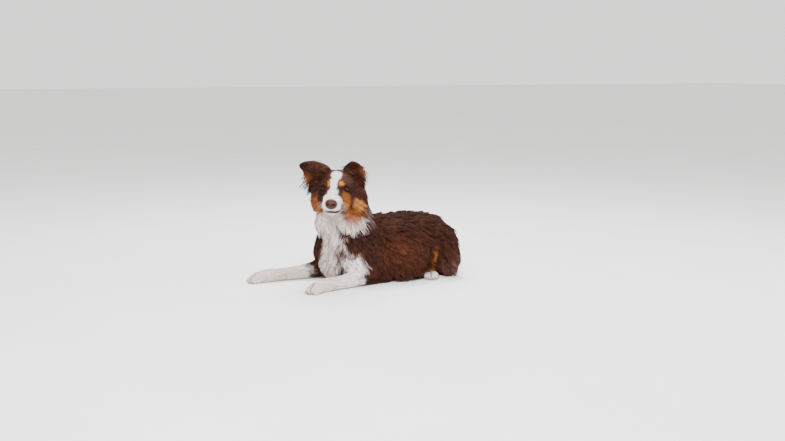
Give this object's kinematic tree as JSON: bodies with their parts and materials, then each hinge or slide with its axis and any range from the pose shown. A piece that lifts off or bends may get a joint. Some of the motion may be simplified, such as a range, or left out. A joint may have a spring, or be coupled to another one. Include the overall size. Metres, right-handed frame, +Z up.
{
  "type": "lying long-haired herding dog",
  "caption": "Life-size herding dog that lies on its chest with its forelegs stretched out and its head turned to its left.",
  "frame": {"origin": "middle of the bounding box's foot, on the floor", "axes": "-X the way the chest faces and the forelegs point, -Y the dog's left side, +Z up"},
  "size_m": [0.6866, 0.337, 0.3849],
  "materials": {
    "brown_coat": "long brown hair",
    "white_coat": "white hair",
    "nose_leather": "moist pebbled leather",
    "eye": "wet gloss",
    "claw": "satin horn"
  },
  "bodies": {
    "root": {"head": "brown_coat", "lower_jaw": "white_coat", "nose": "nose_leather", "ear_l": "brown_coat", "ear_r": "brown_coat", "eye_l": "eye", "eye_r": "eye", "neck": "white_coat", "trunk": "brown_coat", "tail": "brown_coat", "upper_arm_l": "brown_coat", "forearm_l": "white_coat", "forepaw_l": "white_coat", "thigh_l": "brown_coat", "shank_l": "brown_coat", "hindpaw_l": "white_coat", "upper_arm_r": "brown_coat", "forearm_r": "white_coat", "forepaw_r": "white_coat", "thigh_r": "brown_coat", "shank_r": "brown_coat", "hindpaw_r": "white_coat", "forepaw_l_claw_1": "claw", "forepaw_l_claw_2": "claw", "forepaw_l_claw_3": "claw", "forepaw_l_claw_4": "claw", "hindpaw_l_claw_1": "claw", "hindpaw_l_claw_2": "claw", "hindpaw_l_claw_3": "claw", "hindpaw_l_claw_4": "claw", "forepaw_r_claw_1": "claw", "forepaw_r_claw_2": "claw", "forepaw_r_claw_3": "claw", "forepaw_r_claw_4": "claw", "hindpaw_r_claw_1": "claw", "hindpaw_r_claw_2": "claw", "hindpaw_r_claw_3": "claw", "hindpaw_r_claw_4": "claw"}
  },
  "joints": []
}
